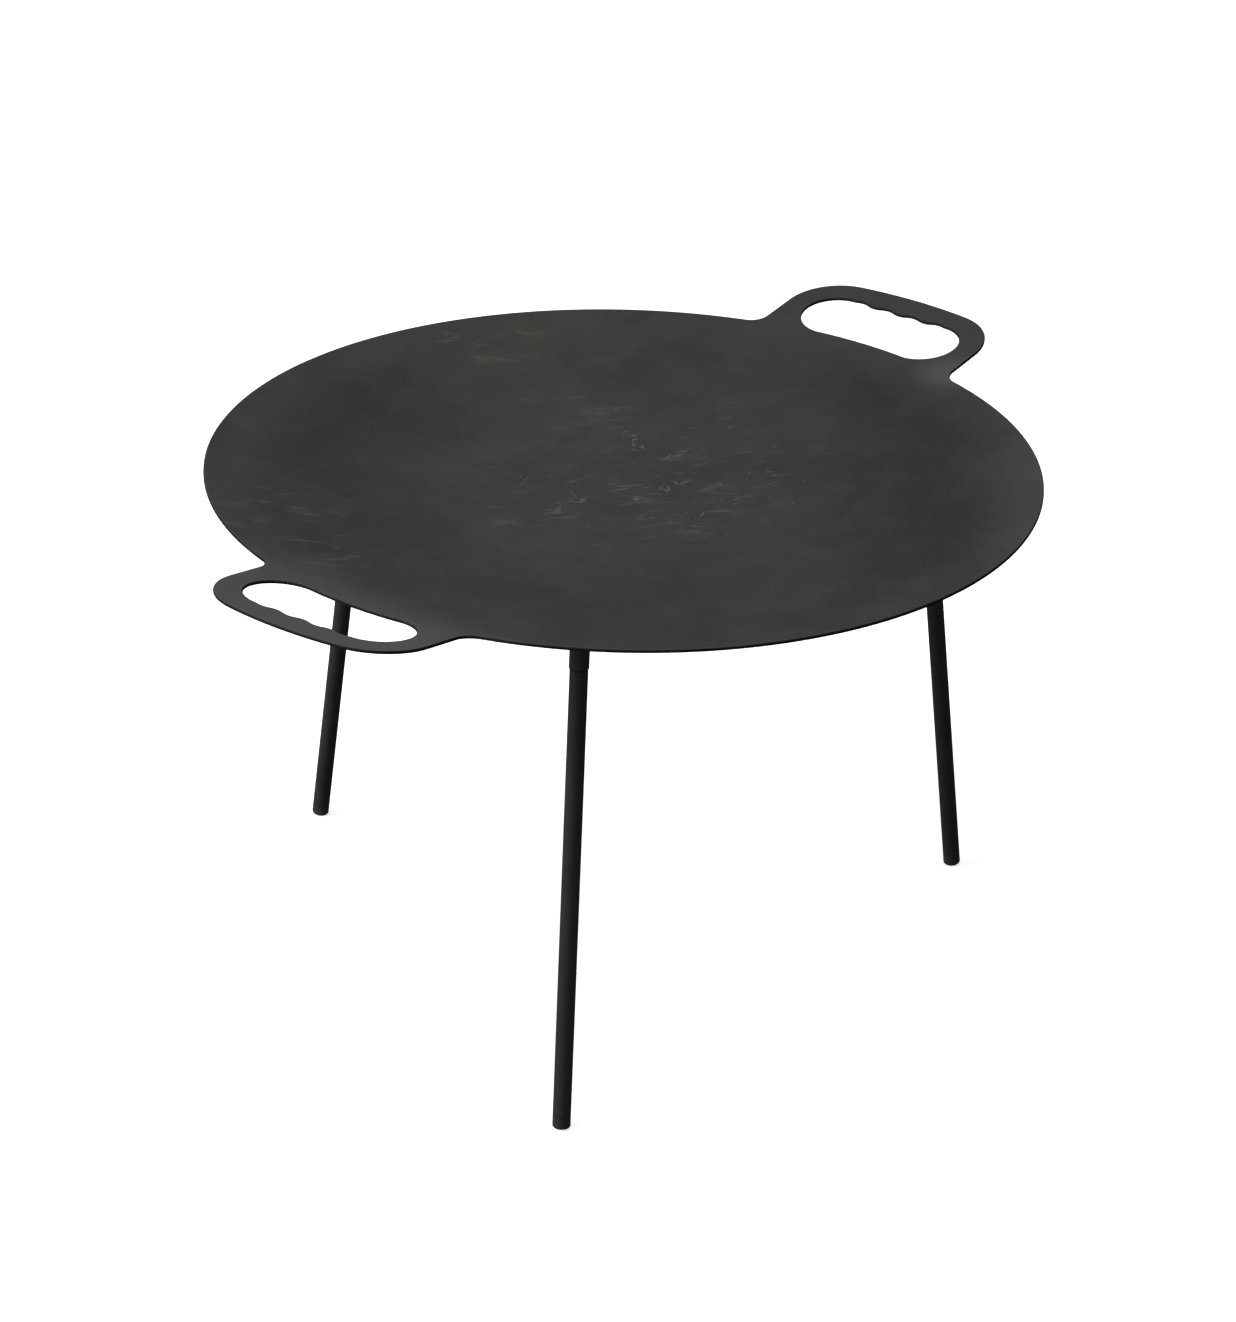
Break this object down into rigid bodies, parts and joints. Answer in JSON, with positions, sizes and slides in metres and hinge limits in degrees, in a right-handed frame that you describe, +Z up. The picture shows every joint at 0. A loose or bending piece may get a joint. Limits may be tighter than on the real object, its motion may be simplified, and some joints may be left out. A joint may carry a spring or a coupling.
{
  "type": "fire griddle",
  "caption": "Shallow round pressed-steel griddle pan with two loop handles, standing on splayed tubular legs that screw into welded sleeves, for use over an open fire.",
  "frame": {"origin": "on the ground, below the middle of the dish", "axes": "+Z up; X runs through both handles; +Y points over the rear leg, and the part is symmetric about the plane X = 0"},
  "size_m": [0.703, 0.56, 0.3651],
  "materials": {
    "seasoned_sheet_steel": "oil-seasoned, satin black with faint scratches",
    "black_coated_steel": "semi-matt black coating",
    "black_weld": "heat-darkened weld bead",
    "oiled_thread_steel": "oiled rolled thread"
  },
  "bodies": {
    "pan": {"griddle_pan": "seasoned_sheet_steel", "leg_socket_rear": "black_coated_steel", "leg_socket_left": "black_coated_steel", "leg_socket_right": "black_coated_steel", "socket_weld_rear": "black_weld", "socket_weld_left": "black_weld", "socket_weld_right": "black_weld"},
    "foot_rear": {"foot_plug_rear": "black_coated_steel"},
    "leg_rear": {"leg_tube_rear": "black_coated_steel", "leg_stud_rear": "oiled_thread_steel"},
    "foot_left": {"foot_plug_left": "black_coated_steel"},
    "leg_left": {"leg_tube_left": "black_coated_steel", "leg_stud_left": "oiled_thread_steel"},
    "foot_right": {"foot_plug_right": "black_coated_steel"},
    "leg_right": {"leg_tube_right": "black_coated_steel", "leg_stud_right": "oiled_thread_steel"}
  },
  "joints": [
    {"name": "leg_rear_travel", "type": "slide", "parent": "pan", "child": "foot_rear", "axis": [0, 0.1248, -0.9922], "range_m": [0, 0.021]},
    {"name": "leg_rear_unscrew", "type": "hinge", "parent": "foot_rear", "child": "leg_rear", "pos_m": [0, 0.224, 0.34353], "axis": [0, 0.1248, -0.9922], "range_deg": [0, 5041]},
    {"name": "leg_left_travel", "type": "slide", "parent": "pan", "child": "foot_left", "axis": [-0.1081, -0.0624, -0.9922], "range_m": [0, 0.021]},
    {"name": "leg_left_unscrew", "type": "hinge", "parent": "foot_left", "child": "leg_left", "pos_m": [-0.19399, -0.112, 0.34353], "axis": [-0.1081, -0.0624, -0.9922], "range_deg": [0, 5041]},
    {"name": "leg_right_travel", "type": "slide", "parent": "pan", "child": "foot_right", "axis": [0.1081, -0.0624, -0.9922], "range_m": [0, 0.021]},
    {"name": "leg_right_unscrew", "type": "hinge", "parent": "foot_right", "child": "leg_right", "pos_m": [0.19399, -0.112, 0.34353], "axis": [0.1081, -0.0624, -0.9922], "range_deg": [0, 5041]}
  ],
  "couplings": [
    {"joint": "leg_rear_unscrew", "follows": "leg_rear_travel", "rad_per_m": 4188.8},
    {"joint": "leg_left_unscrew", "follows": "leg_left_travel", "rad_per_m": 4188.8},
    {"joint": "leg_right_unscrew", "follows": "leg_right_travel", "rad_per_m": 4188.8}
  ]
}
